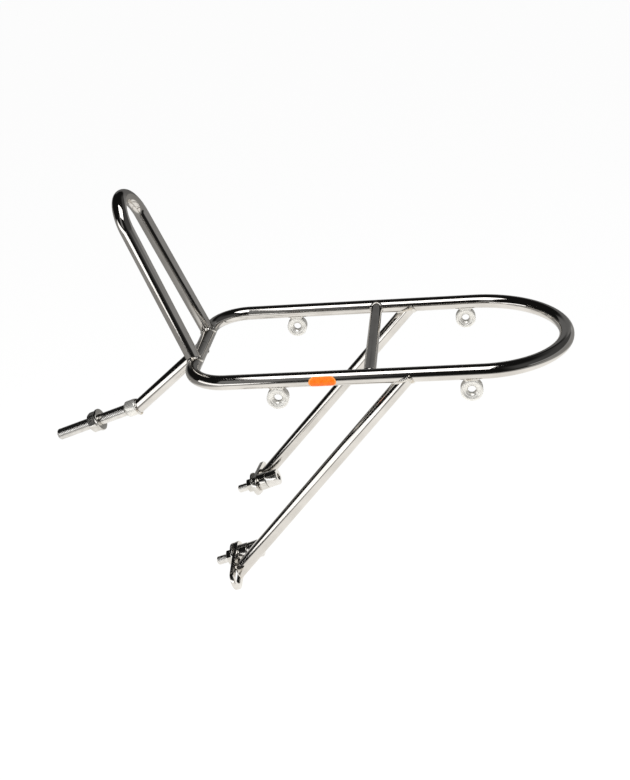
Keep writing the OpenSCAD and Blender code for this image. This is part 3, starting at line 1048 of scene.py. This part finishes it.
def softbox(name, place, aim, width, height, radiance, roll=0.0):
    """Rectangular area light of a given radiance, rolled about its own axis."""
    light = bpy.data.lights.new(name, "AREA")
    light.shape = "RECTANGLE"
    light.size, light.size_y = width, height
    light.energy = radiance * math.pi * width * height
    obj = bpy.data.objects.new(name, light)
    obj.location = place
    facing = (Vector(aim) - Vector(place)).to_track_quat("-Z", "Y").to_matrix()
    obj.rotation_euler = (facing @ Matrix.Rotation(math.radians(roll), 3, "Z")).to_euler()
    bpy.context.scene.collection.objects.link(obj)
    obj.visible_camera = False
    return obj


def studio_world():
    """Dark room with soft grey walls. The camera itself sees white round the paper."""
    world = bpy.data.worlds.new("studio")
    bpy.context.scene.world = world
    world.use_nodes = True
    n = Nodes(world.node_tree)
    direction = n.add("ShaderNodeTexCoord").outputs["Generated"]

    def along(axis):
        dot = n.add("ShaderNodeVectorMath", operation="DOT_PRODUCT")
        n.link(direction, dot, 0)
        dot.inputs[1].default_value = axis
        return dot.outputs["Value"]

    def within(angle, half, soft):
        low, high = math.radians(half - soft), math.radians(half + soft)
        return n.ramp(n.maths("ABSOLUTE", angle, 0), low, high, 1, 0)

    height = n.maths("ARCSINE", along((0, 0, 1)), 0)
    total = ROOM_DARK
    for facing, elevation, half_width, half_height, soft, radiance in WALLS:
        a = math.radians(facing)
        turn = n.maths("ARCTAN2", along((math.cos(a), math.sin(a), 0)),
                       along((math.sin(a), -math.cos(a), 0)))
        rise = n.maths("SUBTRACT", height, math.radians(elevation))
        glow = n.maths("MULTIPLY", within(turn, half_width, soft),
                       within(rise, half_height, soft))
        total = n.maths("ADD", n.maths("MULTIPLY", glow, radiance), total)
    room = n.add("ShaderNodeBackground", Strength=1.0)
    n.link(total, room, "Color")
    pale = n.add("ShaderNodeBackground", Strength=1.0, Color=(1.0, 1.0, 1.0, 1))
    mix = n.add("ShaderNodeMixShader")
    n.link(n.add("ShaderNodeLightPath").outputs["Is Camera Ray"], mix, 0)
    n.link(room.outputs[0], mix, 1)
    n.link(pale.outputs[0], mix, 2)
    n.link(mix.outputs[0], n.add("ShaderNodeOutputWorld"), "Surface")


PAPER_LIGHT = 0.97                  # glow of the paper that the camera sees
POOL_AT = (170.0, -60.0, 0)
POOL_R = (0.25, 0.45)               # metres, where the pool begins and ends fading
POOL_LIGHT = 0.97                   # glow of the pool that the steel sees
PAPER_END = (-0.62, -0.42)          # metres, where the paper fades into the dark in front
GREY_LIGHT = 0.26                   # radiance of the paper outside the pool
ROOM_DARK = 0.008                   # radiance of the room between the walls
WALLS = [
    # facing (0 towards the camera, 90 along +X), elevation, half width, half height,
    # softness, in degrees; radiance
    (180, 6, 32, 21, 4, 0.125),     # behind the rack
    (105, 3, 48, 8, 4, 0.25),       # to the right
    (95, 25, 60, 22, 12, 0.055),    # above that
    (-16, 30, 10, 22, 5, 0.20),     # left of the camera
    (-125, -2, 28, 8, 5, 0.10),     # far left
]
OVERHEAD_AT = (110.0, -290.0, 650.0)
OVERHEAD_AIM = (110.0, -290.0, 0)
FILL_AT = (165.0, -640.0, 300.0)
FILL_AIM = (100.0, 0, -20.0)
WINDOW_AT = (-386.0, -460.0, 8.0)
WINDOW_AIM = (0, 0, 8.0)

floor()
studio_world()
softbox("overhead", at(OVERHEAD_AT), at(OVERHEAD_AIM), width=0.40, height=0.52, radiance=2.6)
fill = softbox("fill", at(FILL_AT), at(FILL_AIM), width=0.6, height=0.6, radiance=3.2)
fill.visible_glossy = False         # it lights matt surfaces and isn't mirrored in the steel
window = softbox("window", at(WINDOW_AT), at(WINDOW_AIM), width=0.84, height=0.21,
                 radiance=1.6, roll=-13)
window.visible_diffuse = False      # it is mirrored in the steel and lights no matt surface

# ---------------------------------------------------------------- camera

FOCAL_PX = 1064.0          # focal length in pixels of the 630 x 780 frame
FRAME_LONG = 780
CAMERA_AT = (165.8, -653.6, 287.4)
CAMERA_RIGHT = (0.99126, 0.09237, -0.09419)
CAMERA_FORWARD = (-0.12470, 0.88909, -0.44042)


def camera():
    """Camera at the photograph's viewing angle."""
    data = bpy.data.cameras.new("camera")
    data.sensor_width = 36.0
    data.lens = FOCAL_PX / FRAME_LONG * data.sensor_width
    data.clip_start, data.clip_end = 0.01, 50
    obj = bpy.data.objects.new("camera", data)
    back = -Vector(CAMERA_FORWARD).normalized()
    right = Vector(CAMERA_RIGHT)
    right = (right - back * right.dot(back)).normalized()
    up = back.cross(right)
    turn = Matrix((right, up, back)).transposed().to_4x4()
    obj.matrix_world = Matrix.Translation(Vector(at(CAMERA_AT))) @ turn
    bpy.context.scene.collection.objects.link(obj)
    bpy.context.scene.camera = obj


camera()
bpy.context.scene.view_settings.view_transform = "Standard"
